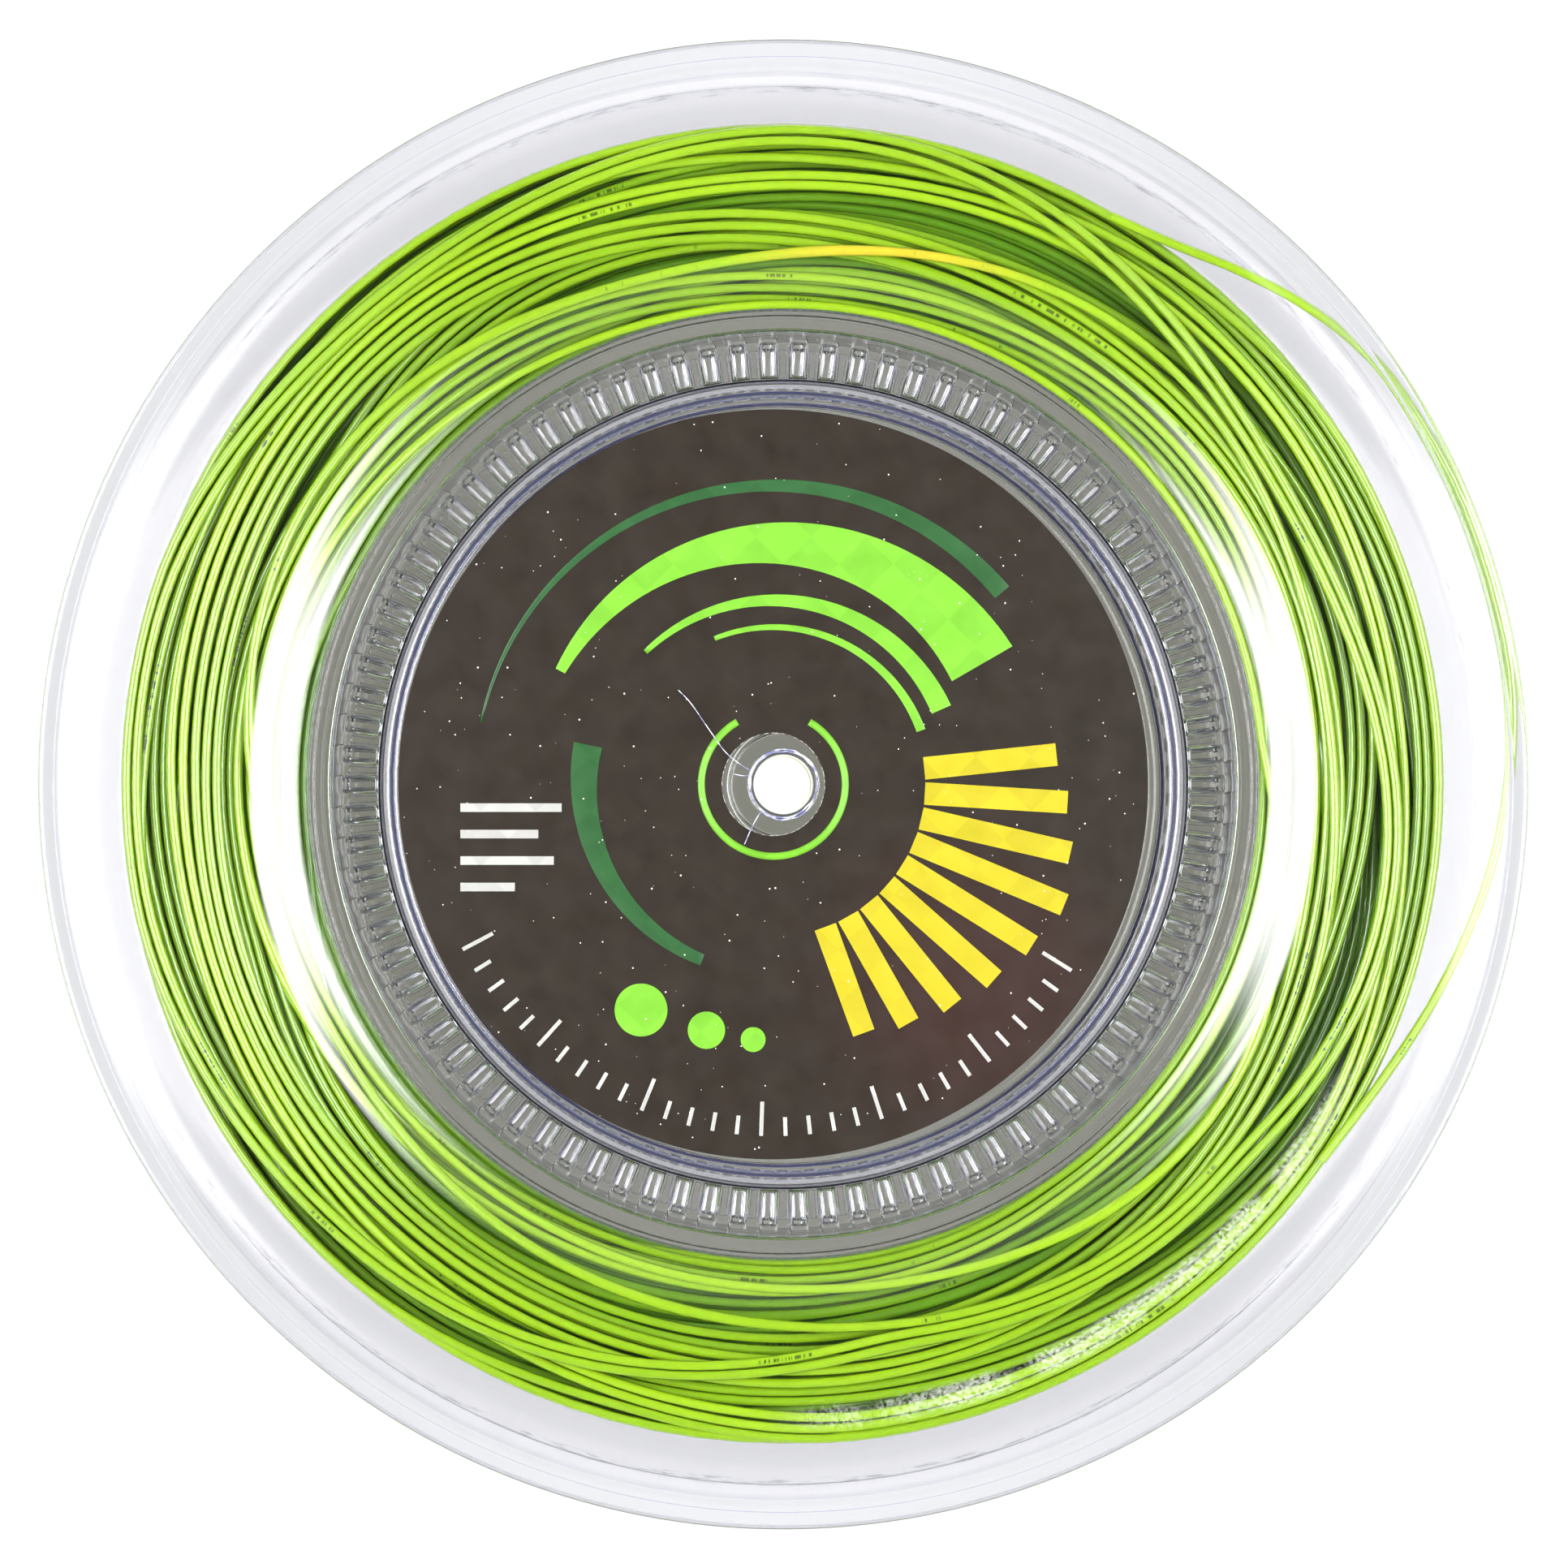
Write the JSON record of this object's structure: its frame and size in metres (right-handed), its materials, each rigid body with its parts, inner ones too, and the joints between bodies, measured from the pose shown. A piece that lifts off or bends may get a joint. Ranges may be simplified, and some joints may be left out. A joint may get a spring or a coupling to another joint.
{
  "type": "racket string reel",
  "caption": "Clear two-part spool wound with lime green racket string, with a round dark label in its hub and a spindle bore through the middle.",
  "frame": {"origin": "centre of the reel on its axis, in the plane of the rear rim that it rests on", "axes": "+Z along the reel's axis, from the rear half towards the labelled front half; +X to the right and +Y up as the labelled face is looked at"},
  "size_m": [0.19, 0.19, 0.04],
  "materials": {
    "clear_plastic": "clear polished polystyrene, lightly scuffed at the rims",
    "string": "smooth glossy monofilament",
    "label": "printed paper with a satin film"
  },
  "bodies": {
    "root": {"front_half": "clear_plastic", "rear_half": "clear_plastic", "string_pack": "string", "string_turns": "string", "loose_turn": "string", "label": "label"}
  },
  "joints": []
}
